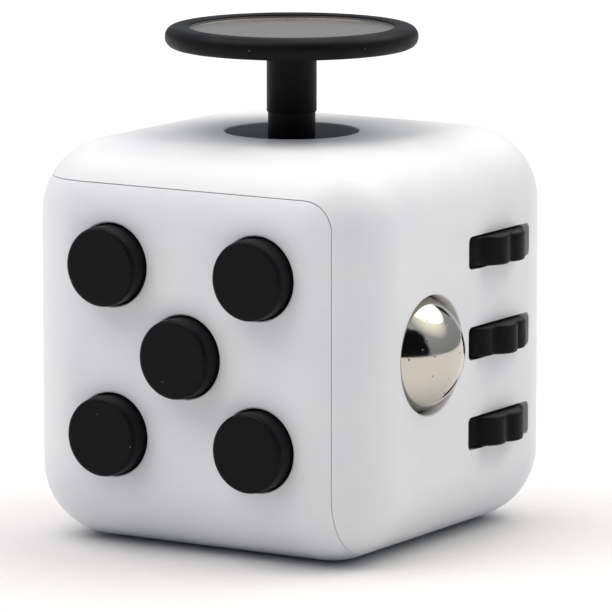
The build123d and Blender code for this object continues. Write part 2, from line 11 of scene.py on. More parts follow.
import bpy
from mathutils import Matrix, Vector

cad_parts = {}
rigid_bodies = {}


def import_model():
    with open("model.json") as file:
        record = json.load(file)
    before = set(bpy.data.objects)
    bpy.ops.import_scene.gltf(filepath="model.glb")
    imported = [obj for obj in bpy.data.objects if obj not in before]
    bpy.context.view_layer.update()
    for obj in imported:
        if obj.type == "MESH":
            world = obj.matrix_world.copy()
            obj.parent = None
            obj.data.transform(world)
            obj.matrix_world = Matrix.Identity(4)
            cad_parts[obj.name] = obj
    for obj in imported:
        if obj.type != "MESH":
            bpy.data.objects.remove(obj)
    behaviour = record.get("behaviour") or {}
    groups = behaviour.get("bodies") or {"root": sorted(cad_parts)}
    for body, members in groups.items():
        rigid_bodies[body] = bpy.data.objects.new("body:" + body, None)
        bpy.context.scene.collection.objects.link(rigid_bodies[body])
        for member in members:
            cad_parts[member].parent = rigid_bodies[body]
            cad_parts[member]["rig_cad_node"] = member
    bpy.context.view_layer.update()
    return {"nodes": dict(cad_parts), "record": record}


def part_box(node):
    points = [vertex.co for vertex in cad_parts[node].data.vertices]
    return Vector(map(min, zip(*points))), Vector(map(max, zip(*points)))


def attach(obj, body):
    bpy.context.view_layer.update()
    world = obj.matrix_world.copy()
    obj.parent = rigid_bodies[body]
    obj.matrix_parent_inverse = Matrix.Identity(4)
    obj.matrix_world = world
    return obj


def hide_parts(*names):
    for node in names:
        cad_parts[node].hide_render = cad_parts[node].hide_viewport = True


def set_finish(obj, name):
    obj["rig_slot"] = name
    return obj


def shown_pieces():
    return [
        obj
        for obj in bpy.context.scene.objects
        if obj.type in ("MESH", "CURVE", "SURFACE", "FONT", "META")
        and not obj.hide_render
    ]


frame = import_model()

mm = 0.001

# %% [markdown]
# ## Sizes
# The frame knows where everything is. A few sizes are needed again for the pieces that are modelled
# afresh: the cube itself from the lowest corner of the front shell to the highest of the rear shell,
# and then the roundings and gaps that a moulded toy has.

# %% Sizes from the frame
cube_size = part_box("rear_shell")[1].z
half = cube_size / 2
centre = Vector((0, 0, half))
corner = 6.2 * mm
wall = 1.6 * mm
seam = half - 3.1 * mm
seam_corner = 2.6 * mm
seam_gap = 0.06 * mm
lip_length = 1.0 * mm
mould_edge = 0.15 * mm
print("cube", round(cube_size / mm, 2), "mm on edge")


# %% [markdown]
# ## Tools of the trade
# An operator acts on whatever is selected, so each helper starts by clearing the selection. In edit
# mode the elements to work on are picked by where they are, which is what an eye and a mouse would
# do. Modifiers such as Bevel and Boolean do the finishing, and each is applied at once, so that what
# is printed is the real mesh.

# %% Helpers: selecting
def deselect():
    if bpy.context.object and bpy.context.object.mode != "OBJECT":
        bpy.ops.object.mode_set(mode="OBJECT")
    bpy.ops.object.select_all(action="DESELECT")


def hold(piece):
    """Makes one piece the selected and active one."""
    deselect()
    piece.select_set(True)
    bpy.context.view_layer.objects.active = piece


def leave():
    bpy.ops.object.mode_set(mode="OBJECT")


def pick_edges(piece, test):
    """Edit mode, with the edges selected whose middle and direction pass the test."""
    hold(piece)
    bpy.ops.object.mode_set(mode="EDIT")
    bpy.ops.mesh.select_mode(type="EDGE")
    bpy.ops.mesh.select_all(action="DESELECT")
    leave()
    points = piece.data.vertices
    for edge in piece.data.edges:
        start, end = (points[i].co for i in edge.vertices)
        edge.select = test((start + end) / 2, end - start)
    bpy.ops.object.mode_set(mode="EDIT")


def pick_faces(piece, test):
    """Edit mode, with the faces selected whose middle and normal pass the test."""
    hold(piece)
    bpy.ops.object.mode_set(mode="EDIT")
    bpy.ops.mesh.select_mode(type="FACE")
    bpy.ops.mesh.select_all(action="DESELECT")
    leave()
    for face in piece.data.polygons:
        face.select = test(face.center, face.normal)
    bpy.ops.object.mode_set(mode="EDIT")


# %% Helpers: primitives and modifiers
turn_to = {"+Z": (0, 0, 0), "-Z": (pi, 0, 0), "+X": (0, pi / 2, 0), "-X": (0, -pi / 2, 0),
           "+Y": (-pi / 2, 0, 0), "-Y": (pi / 2, 0, 0)}
ways = {"+Z": Vector((0, 0, 1)), "-Z": Vector((0, 0, -1)),
        "+X": Vector((1, 0, 0)), "-X": Vector((-1, 0, 0)),
        "+Y": Vector((0, 1, 0)), "-Y": Vector((0, -1, 0))}


def settle(name):
    """Names the piece in hand and puts its place, turn and size into its mesh."""
    piece = bpy.context.object
    piece.name = piece.data.name = name
    bpy.ops.object.transform_apply(location=True, rotation=True, scale=True)
    return piece


def block(name, low, high):
    deselect()
    place = [(a + b) / 2 for a, b in zip(low, high)]
    size = [b - a for a, b in zip(low, high)]
    bpy.ops.mesh.primitive_cube_add(size=1, location=place, scale=size)
    return settle(name)


def apply(piece, kind, **settings):
    """Adds a modifier with its settings and applies it at once."""
    hold(piece)
    modifier = piece.modifiers.new(kind.title(), kind)
    for key, value in settings.items():
        setattr(modifier, key, value)
    bpy.ops.object.modifier_apply(modifier=modifier.name)


def space_in(piece):
    """The volume of a closed piece, as the sum of the cones from the origin to its faces."""
    return sum(face.center.dot(face.normal) * face.area for face in piece.data.polygons) / 3


def combine(piece, tool, operation="DIFFERENCE"):
    """Cuts, joins or crosses the piece with a tool, which is used up.

    Where a tool only just crosses an edge, the solver may take the wrong side of it. So what the piece
    loses or gains is compared with the space in the tool, and a result that can't be is done again."""
    whole = piece.data.copy()
    before = space_in(piece)
    room = space_in(tool)
    most = min(room, before) if operation == "INTERSECT" else room
    for attempt in range(20):
        apply(piece, "BOOLEAN", object=tool, operation=operation, solver="EXACT")
        after = space_in(piece)
        change = {"DIFFERENCE": before - after, "UNION": after - before, "INTERSECT": after}[operation]
        if 0.001 * room < change < 1.001 * most:
            break
        print("cut done again:", piece.name, operation)
        spoiled = piece.data
        name = spoiled.name
        piece.data = whole.copy()
        bpy.data.meshes.remove(spoiled)
        piece.data.name = name
    bpy.data.meshes.remove(whole)
    bpy.data.objects.remove(tool)


def copy_of(piece, name):
    twin = piece.copy()
    twin.data = piece.data.copy()
    twin.name = twin.data.name = name
    bpy.context.collection.objects.link(twin)
    return twin


# %% [markdown]
# Buttons, dials and knobs are turned shapes. One can spin a drawn profile, but a disc that is
# extruded and resized, ring by ring, is closed from the start and needs no merging, so that is how
# they are made here. A station is how far along the axis a ring lies, its radius, and how round its
# edge is.

# %% Helpers: turned pieces and soft edges
def turned(name, start, way, stations, sides=96):
    deselect()
    along, radius = stations[0][:2]
    bpy.ops.mesh.primitive_circle_add(vertices=sides, radius=radius, fill_type="NGON",
                                      location=start + ways[way] * along, rotation=turn_to[way])
    piece = settle(name)
    bpy.ops.object.mode_set(mode="EDIT")
    bpy.ops.mesh.select_mode(type="FACE")
    bpy.ops.mesh.select_all(action="SELECT")
    for next_along, next_radius, *_ in stations[1:]:
        move = ways[way] * (next_along - along)
        bpy.ops.mesh.extrude_region_move(TRANSFORM_OT_translate={"value": move})
        scale = next_radius / radius
        ring_middle = start + ways[way] * next_along
        bpy.ops.transform.resize(value=(scale, scale, scale), center_override=ring_middle)
        along, radius = next_along, next_radius
    bpy.ops.mesh.select_all(action="SELECT")
    bpy.ops.mesh.normals_make_consistent(inside=False)
    leave()
    for ring_along, ring_radius, *rounding in stations:
        if not rounding:
            continue

        def on_ring(place, direction):
            offset = place - start
            height = offset.dot(ways[way])
            out = (offset - ways[way] * height).length
            level = abs(height - ring_along) < 1e-6 and abs(direction.dot(ways[way])) < 1e-6
            around = abs(direction.dot(offset)) < 1e-3 * direction.length
            return level and around and abs(out - ring_radius * cos(pi / sides)) < 1e-5
        pick_edges(piece, on_ring)
        bpy.ops.mesh.bevel(offset=rounding[0], segments=rounding[1], profile=0.5, affect="EDGES")
        leave()
    return piece


def smooth(piece, angle=32):
    hold(piece)
    bpy.ops.object.shade_smooth_by_angle(angle=radians(angle))
    apply(piece, "WEIGHTED_NORMAL", keep_sharp=True, weight=100, mode="FACE_AREA")


def tidy(piece, distance):
    """Merges the points that cuts leave closer than a distance, and turns all faces outwards."""
    hold(piece)
    bpy.ops.object.mode_set(mode="EDIT")
    bpy.ops.mesh.select_all(action="SELECT")
    bpy.ops.mesh.remove_doubles(threshold=distance)
    bpy.ops.mesh.normals_make_consistent(inside=False)
    leave()


def soften(piece, radius, steps=3):
    """Rounds every sharp edge, as a mould leaves it."""
    tidy(piece, radius / 3)
    apply(piece, "BEVEL", width=radius, segments=steps, limit_method="ANGLE", angle_limit=radians(32),
          use_clamp_overlap=False, miter_outer="MITER_ARC")
    smooth(piece)


def soften_rim(piece, point, way, reach, radius=mould_edge):
    """Rounds the rim of a hole: the edges that lie on a flat face, within reach of a point on it."""
    flat = ways[way]

    def on_rim(place, direction):
        offset = place - point
        level = abs(direction.dot(flat)) < 0.06 * direction.length
        return level and abs(offset.dot(flat)) < 0.006 * mm and offset.length < reach
    pick_edges(piece, on_rim)
    bpy.ops.mesh.bevel(offset=radius, segments=3, profile=0.5, affect="EDGES")
    leave()


def done(piece, body, *nodes, finish_slot):
    """The piece rides on its body, stands for its CAD nodes and takes its finish from a slot."""
    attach(piece, body)
    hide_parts(*nodes)
    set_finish(piece, finish_slot)
    size = [round(v / mm, 2) for v in piece.dimensions]
    print(f"{piece.name}: {len(piece.data.polygons)} faces, {size} mm")
    return piece


# %% [markdown]
# ## The shell
# The shell is two ABS mouldings. Each carries three faces of the cube, and they meet along one
# hairline that runs round six edges. It could be one subdivided cube, but the seam and the holes need
# crisp edges, so it is made as the mould maker would: a cube with its edges bevelled by 6.2 mm in
# many small steps, a smaller copy cut out of it to leave the wall, and a block with three rounded
# edges that parts the halves.

# %% Rounded cubes and the seam's block
def rounded_cube(name, inset, steps):
    edge = Vector((half - inset,) * 3)
    piece = block(name, centre - edge, centre + edge)
    pick_edges(piece, lambda place, direction: True)
    bpy.ops.mesh.bevel(offset=corner - inset, segments=steps, profile=0.5, affect="EDGES")
    leave()
    return piece


def seam_block(shift):
    """The front shell's share of space: below, left of and in front of the three seam planes."""
    far = seam + shift
    top = half + far
    piece = block("seam_block", (-cube_size,) * 3, (far, far, top))

    def at_two_planes(place, direction):
        return sum((abs(place.x - far) < 1e-6, abs(place.y - far) < 1e-6, abs(place.z - top) < 1e-6)) == 2
    pick_edges(piece, at_two_planes)
    bpy.ops.mesh.bevel(offset=seam_corner, segments=14, profile=0.5, affect="EDGES")
    leave()
    return piece


front_shell = rounded_cube("shell_front_left_bottom", 0, 20)
combine(front_shell, rounded_cube("hollow", wall, 12))
rear_shell = copy_of(front_shell, "shell_top_right_back")
combine(front_shell, seam_block(-seam_gap / 2), "INTERSECT")
combine(rear_shell, seam_block(seam_gap / 2))

# %% [markdown]
# Behind the hairline a thin lip reaches from one half into the other, so no light gets through the
# seam. It is the inner half of the wall, a millimetre longer than the rest, and the other half has a
# step to receive it.

# %% Lip and its step
lip = rounded_cube("lip", wall / 2 + 0.05 * mm, 12)
combine(lip, rounded_cube("hollow", wall + 0.02 * mm, 12))
combine(lip, seam_block(lip_length), "INTERSECT")
combine(front_shell, lip, "UNION")
step = rounded_cube("step", wall / 2, 12)
combine(step, seam_block(lip_length + 0.1 * mm), "INTERSECT")
combine(rear_shell, step)
print("shell halves parted:", len(front_shell.data.polygons), len(rear_shell.data.polygons), "faces")

# %% [markdown]
# The front shell has five button holes, a recess for the dial with a thicker backing, and the thumb
# dish. The dish is the cap of a large ball, so its tool is a turned piece whose rings lie on an arc.
# Its rim gets a wide soft rounding, because a thumb strokes across it.

# %% Front shell: buttons and dial
button_names = ["upper_left", "upper_right", "middle", "lower_left", "lower_right"]
button_radius = 3.25 * mm
button_gap = 0.15 * mm
dial_radius = 9.0 * mm
dial_recess = 1.0 * mm
dial_hub = 2.2 * mm
left_face = Vector((-half, 0, half))


def middle_of(node):
    low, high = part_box(node)
    return (low + high) / 2


def bar(start, way, low, high, radius, sides=96):
    """A round bar along one of the axes, to cut or join with."""
    return turned("bar", start, way, [(low, radius), (high, radius)], sides)


rims = []
drills = []
for name in button_names:
    place = middle_of("button_" + name)
    start = Vector((place.x, -half, place.z))
    drills.append(bar(start, "+Y", -mm, 2 * mm, button_radius + button_gap))
    rims.append((front_shell, start, "+Y", button_radius + 2 * button_gap))
hold(drills[0])
for drill in drills:
    drill.select_set(True)
bpy.ops.object.join()
combine(front_shell, drills[0])
combine(front_shell, bar(left_face, "+X", wall - 0.3 * mm, 2 * wall, dial_radius + wall), "UNION")
combine(front_shell, bar(left_face, "+X", -mm, dial_recess, dial_radius + 0.35 * mm, 128))
rims.append((front_shell, left_face, "+X", dial_radius + 0.4 * mm))
combine(front_shell, bar(left_face, "+X", -mm, 3 * wall, dial_hub + 0.05 * mm, 48))

# %% Front shell: thumb dish
dish_radius = 9.3 * mm
dish_depth = 1.9 * mm
dish_ball = (dish_radius**2 + dish_depth**2) / (2 * dish_depth)
dish_centre = dish_depth - dish_ball
dish_rim = 0.9 * mm


def ball_cap(radius, low, rings):
    """Stations up the cap of a ball that is centred under the cube, from a height to its crown."""
    spread = acos((low - dish_centre) / radius)
    turns = [spread * (1 - ring / rings) for ring in range(rings + 1)]
    return [(dish_centre + radius * cos(turn), max(radius * sin(turn), 0.02 * mm)) for turn in turns]


bottom = Vector((0, 0, 0))
combine(front_shell, turned("backing", bottom, "+Z", ball_cap(dish_ball + wall, wall / 2, 10), 64), "UNION")
combine(front_shell, turned("dish", bottom, "+Z", ball_cap(dish_ball, -0.4 * mm, 14), 128))


def on_dish_rim(place, direction):
    return abs(place.z) < 1e-6 and abs(place.xy.length - dish_radius) < 0.02 * mm


pick_edges(front_shell, on_dish_rim)
bpy.ops.mesh.bevel(offset=dish_rim, segments=6, profile=0.5, affect="EDGES")
leave()
print("front shell cut:", len(front_shell.data.polygons), "faces")

# %% [markdown]
# The rear shell has the seat hole for the ball, three slots for the thumb wheels, the joystick's hole
# and the rocker's window. A slot is a block with its four long edges rounded, as an end mill cuts it.
# The ball's hole is a little smaller than the ball, and wider inside, so the ball seats on a ring and
# can't fall out.

# %% Rear shell: ball, wheels, joystick, rocker
ball_centre = middle_of("roll_ball")
ball_hole = 4.87 * mm
wheel_names = ["top", "middle", "bottom"]
slot_low = 0.65 * mm
slot_high = 10.5 * mm
slot_height = 2.75 * mm
stick_hole = 5.5 * mm
window_width = 7.9 * mm
window_height = 13.5 * mm
inner_face = half - wall


def rounded_block(low, high, axis, radius):
    """A block whose four edges along one axis (0, 1 or 2) are rounded."""
    piece = block("slot", low, high)
    pick_edges(piece, lambda place, direction: abs(direction[axis]) > 0.9 * direction.length)
    bpy.ops.mesh.bevel(offset=radius, segments=8, profile=0.5, affect="EDGES")
    leave()
    return piece


right_face = Vector((half, ball_centre.y, ball_centre.z))
combine(rear_shell, bar(right_face, "-X", -mm, 3 * mm, ball_hole, 128))
rims.append((rear_shell, right_face, "-X", ball_hole + 0.05 * mm))
funnel = [(wall - 0.4 * mm, ball_hole), (wall + 0.2 * mm, ball_hole + 0.6 * mm)]
combine(rear_shell, turned("funnel", right_face, "-X", funnel, 128))
for name in wheel_names:
    wheel_z = middle_of("thumb_wheel_" + name).z
    wheel_y = middle_of("wheel_axle").y
    low = Vector((inner_face - mm, slot_low, wheel_z - slot_height / 2))
    high = Vector((half + mm, slot_high, wheel_z + slot_height / 2))
    combine(rear_shell, rounded_block(low, high, 0, 0.5 * mm))
    low = Vector((inner_face - mm, wheel_y - 5.5 * mm, wheel_z - slot_height / 2 - 0.2 * mm))
    high = Vector((inner_face + wall / 2, wheel_y + 5.5 * mm, wheel_z + slot_height / 2 + 0.2 * mm))
    combine(rear_shell, block("relief", low, high))
top_face = Vector((0, 0, cube_size))
combine(rear_shell, bar(top_face, "-Z", -mm, 3 * mm, stick_hole, 128))
rims.append((rear_shell, top_face, "-Z", stick_hole + 0.05 * mm))
low = Vector((-window_width / 2, inner_face - mm, half - window_height / 2))
high = Vector((window_width / 2, half + mm, half + window_height / 2))
combine(rear_shell, rounded_block(low, high, 1, 0.8 * mm))
rims.append((rear_shell, Vector((0, half, half)), "-Y", Vector((window_width, window_height)).length / 2))
print("rear shell cut:", len(rear_shell.data.polygons), "faces")

# %% [markdown]
# Inside, short bosses take the screws of the button plate, joystick, ball, wheels and rocker. They
# don't show, but a shell without them would leave the screws in mid air when the halves are taken
# apart. Each is a bar that grows from the wall with a pilot hole down its middle.

# %% Screw bosses
boss_root = inner_face + wall / 4
high_root = half + boss_root
pilot = 0.6 * mm
stout = 1.6 * mm
slim = 1.4 * mm
plate_reach = 8.6 * mm
ball_reach = 8.2 * mm
stick_reach = 6.8 * mm
bracket_x = 9.6 * mm
bracket_heights = (-3.6 * mm, 3.7 * mm)
rocker_screw_reach = 6.7 * mm
both = (-1, 1)
front_bosses = [(Vector((0, -boss_root, half + side * plate_reach)), "+Y", 3.1 * mm, stout)
                for side in both]
rear_bosses = [(Vector((boss_root, ball_centre.y, half + side * ball_reach)), "-X", 2.0 * mm, slim)
               for side in both]
rear_bosses += [(Vector((x * stick_reach, y * stick_reach, high_root)), "-Z", 2.4 * mm, stout)
                for x in both for y in both]
rear_bosses += [(Vector((bracket_x, boss_root, half + z)), "-Y", 2.9 * mm, slim) for z in bracket_heights]
rear_bosses += [(Vector((x * rocker_screw_reach, boss_root, half)), "-Y", 2.0 * mm, slim) for x in both]
for shell, bosses in ((front_shell, front_bosses), (rear_shell, rear_bosses)):
    for root, way, length, radius in bosses:
        combine(shell, bar(root, way, 0, length, radius, 32), "UNION")
        combine(shell, bar(root, way, wall / 4, length + mm, pilot, 24))
    tidy(shell, 0.003 * mm)
    for softened, point, way, reach in rims:
        if softened == shell:
            soften_rim(shell, point, way, reach)
    smooth(shell)
done(front_shell, "cube", "front_shell", finish_slot="white_abs")
done(rear_shell, "cube", "rear_shell", finish_slot="white_abs")

# %% [markdown]
# ## Push buttons
# Five identical mouldings: a flat round cap with a small radius on its edge, a flange behind the wall
# that keeps it in, and a foot that presses the dome. One is turned and the other four are copies with
# their own meshes.

# %% Push buttons
button_low, button_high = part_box("button_middle")
face = button_low.y
foot = button_high.y - face
flange = 0.05 * mm - inner_face - face
flange_radius = button_radius + 0.6 * mm
flange_end = flange + 0.75 * mm
foot_radius = 1.2 * mm
button_shape = [
    (0, button_radius, 0.38 * mm, 6),
    (flange, button_radius),
    (flange, flange_radius, 0.1 * mm, 2),
    (flange_end, flange_radius, 0.1 * mm, 2),
    (flange_end, foot_radius),
    (foot, foot_radius, 0.15 * mm, 2),
]
first_place = Vector((0, face, half))
first_button = turned("cap_middle", first_place, "+Y", button_shape, 128)
smooth(first_button)
for name in button_names:
    place = middle_of("button_" + name)
    cap = first_button if name == "middle" else copy_of(first_button, "cap_" + name)
    if name != "middle":
        hold(cap)
        cap.location = (place.x, 0, place.z - half)
        settle("cap_" + name)
    done(cap, "button_" + name, "button_" + name, finish_slot="black_abs")

# %% [markdown]
# ## Joystick
# A thumb disc with a fat round rim and a shallow pad sunk in its top, on a straight shank. The stem
# that goes down to the pivot is a separate moulding, a hair thinner than the shank, so the two meet
# in a fine visible step.

# %% Joystick disc
disc_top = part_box("joystick_disc")[1].z
disc_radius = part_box("joystick_disc")[1].x
disc_thick = 1.75 * mm
shank_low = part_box("joystick_disc")[0].z
shank_radius = 2.06 * mm
pad_radius = 8.45 * mm
pad_depth = 0.4 * mm
rim_top = disc_top - shank_low
rim_foot = rim_top - disc_thick
rim_round = 0.83 * mm
disc_shape = [
    (0, shank_radius, 0.06 * mm, 2),
    (rim_foot, shank_radius, 0.3 * mm, 4),
    (rim_foot, disc_radius, rim_round, 10),
    (rim_top, disc_radius, rim_round, 10),
    (rim_top, pad_radius, 0.16 * mm, 3),
    (rim_top - pad_depth, pad_radius, 0.12 * mm, 3),
]
shank_start = Vector((0, 0, shank_low))
disc = turned("joystick_thumb_disc", shank_start, "+Z", disc_shape, 160)
stem_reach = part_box("joystick_stem")[1].z - shank_low
socket_radius = 1.2 * mm
combine(disc, bar(shank_start, "+Z", -mm, stem_reach + 0.05 * mm, socket_radius, 48))
smooth(disc)
done(disc, "stick", "joystick_disc", finish_slot="black_abs")

# %% [markdown]
# ## Roll ball
# A polished steel ball, 10 mm across. A UV sphere would pinch at its poles, and a pole catches the
# light like a dimple on a mirror finish, so it starts as a cube with its faces cut fine and is cast
# to a sphere: even squares all round and no poles.

# %% Roll ball
ball_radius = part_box("roll_ball")[1].x - ball_centre.x
deselect()
bpy.ops.mesh.primitive_cube_add(size=2 * ball_radius)
ball = settle("steel_roll_ball")
bpy.ops.object.mode_set(mode="EDIT")
bpy.ops.mesh.subdivide(number_cuts=47)
leave()
apply(ball, "CAST", factor=1.0, cast_type="SPHERE", use_radius_as_size=False, size=ball_radius)
hold(ball)
ball.location = ball_centre
settle("steel_roll_ball")
bpy.ops.object.shade_smooth()
done(ball, "ball", "roll_ball", finish_slot="ball_steel")

# %% [markdown]
# ## Thumb wheels
# Three toothed wheels on one axle. Each tooth is a wide round lobe. Its arc is spun from a single
# point, ten copies of the arc are spun round the axle and merged into one outline, and the outline is
# filled and raised. The valleys between lobes are tight, and the small bevel on every edge catches a
# thin line of light there, which is how the eye reads them as teeth.

# %% Thumb wheels
axle = middle_of("wheel_axle")
wheel_thick = 2.4 * mm
wheel_edge = 0.24 * mm
wheel_hub = 2.2 * mm
wheel_bore = 1.05 * mm
lobes = 10
tip = 5.5 * mm
valley = 4.9 * mm
half_step = pi / lobes
rise = tip - valley * cos(half_step)
lobe_radius = ((valley * sin(half_step))**2 + rise**2) / (2 * rise)
lobe_turn = 2 * asin(valley * sin(half_step) / lobe_radius)
lobe_phase = {"top": 16, "middle": -5, "bottom": 12}
up = Vector((0, 0, 1))


def lobed_outline(name, place, phase):
    """One lobe's arc, spun from a point, then spun round the axle and filled."""
    start_turn = phase - half_step
    first = place + Vector((cos(start_turn), sin(start_turn), 0)) * valley
    lobe_middle = place + Vector((cos(phase), sin(phase), 0)) * (tip - lobe_radius)
    deselect()
    bpy.ops.mesh.primitive_plane_add(size=mm, location=first)
    piece = settle(name)
    bpy.ops.object.mode_set(mode="EDIT")
    bpy.ops.mesh.select_mode(type="VERT")
    bpy.ops.mesh.select_all(action="SELECT")
    bpy.ops.mesh.merge(type="CENTER")
    bpy.ops.mesh.spin(steps=12, angle=-lobe_turn, center=lobe_middle, axis=up)
    bpy.ops.mesh.select_all(action="SELECT")
    bpy.ops.mesh.spin(steps=lobes, angle=2 * pi, center=place, axis=up, dupli=True)
    bpy.ops.mesh.select_all(action="SELECT")
    bpy.ops.mesh.remove_doubles(threshold=0.02 * mm)
    bpy.ops.mesh.edge_face_add()
    return piece


def thumb_wheel(name, place, phase, hub_length):
    foot = place - up * wheel_thick / 2
    wheel = lobed_outline(name, foot, phase)
    bpy.ops.mesh.extrude_region_move(TRANSFORM_OT_translate={"value": up * wheel_thick})
    bpy.ops.mesh.select_all(action="SELECT")
    bpy.ops.mesh.normals_make_consistent(inside=False)
    leave()

    def in_valley(spot, direction):
        return abs(direction.z) > 0.9 * direction.length and (spot - place).xy.length < valley + 0.02 * mm
    pick_edges(wheel, in_valley)
    bpy.ops.mesh.bevel(offset=0.22 * mm, segments=3, profile=0.5, affect="EDGES")
    leave()

    def on_rim(spot, direction):
        return abs(direction.z) < 1e-7
    pick_edges(wheel, on_rim)
    bpy.ops.mesh.bevel(offset=wheel_edge, segments=4, profile=0.5, affect="EDGES")
    leave()
    combine(wheel, bar(place, "+Z", -hub_length / 2, hub_length / 2, wheel_hub, 48), "UNION")
    combine(wheel, bar(place, "+Z", -hub_length, hub_length, wheel_bore, 32))
    smooth(wheel)
    return wheel


for name in wheel_names:
    low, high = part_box("thumb_wheel_" + name)
    place = Vector((axle.x, axle.y, (low.z + high.z) / 2))
    wheel = thumb_wheel("lobed_wheel_" + name, place, radians(lobe_phase[name]), high.z - low.z)
    done(wheel, "wheel_" + name, "thumb_wheel_" + name, finish_slot="black_abs")

# %% [markdown]
# ## Rocker
# A two-way switch: its face is two flats that meet in a shallow valley, so one end always stands
# proud. It starts as a block about its own pivot, the inner side is drawn in to a keel by extruding
# and resizing, the valley is a middle edge pushed in, and the whole is tipped at the end, because
# square to the axes is easier to shape.

# %% Rocker
pivot = middle_of("rocker_pin")
rocker_tilt = radians(8)
rocker_half = 3.75 * mm
rocker_reach = 6.0 * mm
crown = half + 0.3 * mm - pivot.y
end = crown + rocker_reach * tan(rocker_tilt)
keel_stations = [(-0.4 * mm, 5.2 * mm), (1.2 * mm, 2.6 * mm), (3.2 * mm, 0.5 * mm)]
valley_round = 1.6 * mm
pin_hole = 0.8 * mm

depth, reach = keel_stations[0]
rocker = block("rocker_switch", (-rocker_half, -depth, -rocker_reach), (rocker_half, end, rocker_reach))
pick_faces(rocker, lambda place, normal: normal.y < -0.9)
bpy.ops.transform.resize(value=(1, 1, reach / rocker_reach), center_override=(0, -depth, 0))
for next_depth, next_reach in keel_stations[1:]:
    bpy.ops.mesh.extrude_region_move(TRANSFORM_OT_translate={"value": (0, depth - next_depth, 0)})
    bpy.ops.transform.resize(value=(1, 1, next_reach / reach), center_override=(0, -next_depth, 0))
    depth, reach = next_depth, next_reach
bpy.ops.mesh.select_all(action="SELECT")
bpy.ops.mesh.bisect(plane_co=(0, 0, 0), plane_no=(0, 0, 1))
leave()
pick_edges(rocker, lambda place, direction: abs(place.y - end) < 1e-6 and abs(place.z) < 1e-6)
bpy.ops.transform.translate(value=(0, crown - end, 0))
bpy.ops.mesh.bevel(offset=valley_round, segments=8, profile=0.5, affect="EDGES")
leave()
combine(rocker, bar(Vector((0, 0, 0)), "+X", -5 * mm, 5 * mm, pin_hole, 32))
hold(rocker)
rocker.rotation_euler.x = rocker_tilt
rocker.location = pivot
settle("rocker_switch")
soften(rocker, 0.35 * mm, 4)
done(rocker, "rocker", "rocker", finish_slot="black_abs")

# %% [markdown]
# ## Spin dial
# A turned disc with a rounded rim and a shallow dished face, so a finger stays in it, and a small nub
# near the rim to spin it by. The dish follows an arc in eight rings, and the nub is joined on
# afterwards.

# %% Spin dial
dial_low, dial_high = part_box("dial")
dial_back = -half + dial_recess - 0.1 * mm
hub_end = dial_high.x
face_x = -half - 2.0 * mm
dish_reach = 7.4 * mm
dish_drop = 0.8 * mm
rings = 8
nub_radius = 1.5 * mm
nub_place = 5.8 * mm
screw_hole = 0.6 * mm
dial_start = Vector((dial_back, 0, half))
thick = dial_back - face_x
dial_shape = [(dial_back - hub_end, dial_hub), (0, dial_hub), (0, dial_radius, 0.15 * mm, 2),
              (thick, dial_radius, 0.7 * mm, 8), (thick, dish_reach, 0.25 * mm, 3)]
for ring in range(1, rings):
    share = 1 - ring / rings
    dial_shape.append((thick - dish_drop * (1 - share**2), dish_reach * share))
dial_shape.append((thick - dish_drop, 0.02 * mm))
dial = turned("spin_dial", dial_start, "-X", dial_shape, 128)
nub_middle = Vector((face_x, 0, half + nub_place))
nub_shape = [(-nub_radius, nub_radius), (face_x - dial_low.x, nub_radius, 0.34 * mm, 5)]
combine(dial, turned("nub", nub_middle, "-X", nub_shape, 64), "UNION")
combine(dial, bar(dial_start, "+X", -screw_hole, 4 * mm, screw_hole, 24))
smooth(dial)
done(dial, "dial", "dial", finish_slot="black_abs")

# %% [markdown]
# ## Finishes
# A finish starts from what the real surface is and how it was made. The patterns read Object
# coordinates, which are metres here, so a grain of 0.2 mm is a noise scale of one over 0.0002.
# Colours are given as sRGB hex values and turned to linear in one place.

# %% Colour and node helpers
def colour(hex_value):
    channels = [int(hex_value[i:i + 2], 16) / 255 for i in (1, 3, 5)]
    return [c / 12.92 if c <= 0.04045 else ((c + 0.055) / 1.055)**2.4 for c in channels] + [1.0]


def add(tree, kind, inputs=None, **settings):
    """Adds a node: its settings, then its sockets, each given a value or a link."""
    node = tree.nodes.new("ShaderNode" + kind)
    for key, value in settings.items():
        setattr(node, key, value)
    for key, value in (inputs or {}).items():
        if isinstance(value, bpy.types.NodeSocket):
            tree.links.new(value, node.inputs[key])
        else:
            node.inputs[key].default_value = value
    return node


def start_material(name):
    """An empty material, its tree and its Object coordinates."""
    material = bpy.data.materials.new(name)
    material.use_nodes = True
    material.node_tree.nodes.clear()
    tree = material.node_tree
    return material, tree, add(tree, "TexCoord").outputs["Object"]


def finish_material(tree, inputs):
    shader = add(tree, "BsdfPrincipled", inputs)
    add(tree, "OutputMaterial", {"Surface": shader.outputs["BSDF"]})


def per(size):
    """The texture scale that gives a pattern of this size."""
    return 1 / size


# %% [markdown]
# ### Moulded white ABS
# The shell is injection-moulded ABS with a spark-eroded mould: a very fine, even grain that turns the
# gloss of bare ABS into satin. The eye sees three things: the grain, as soft sparkle-free highlights;
# slow waves where the plastic shrank over its ribs; and slight dulling where fingers hold it. Noise
# at each of those sizes does it.

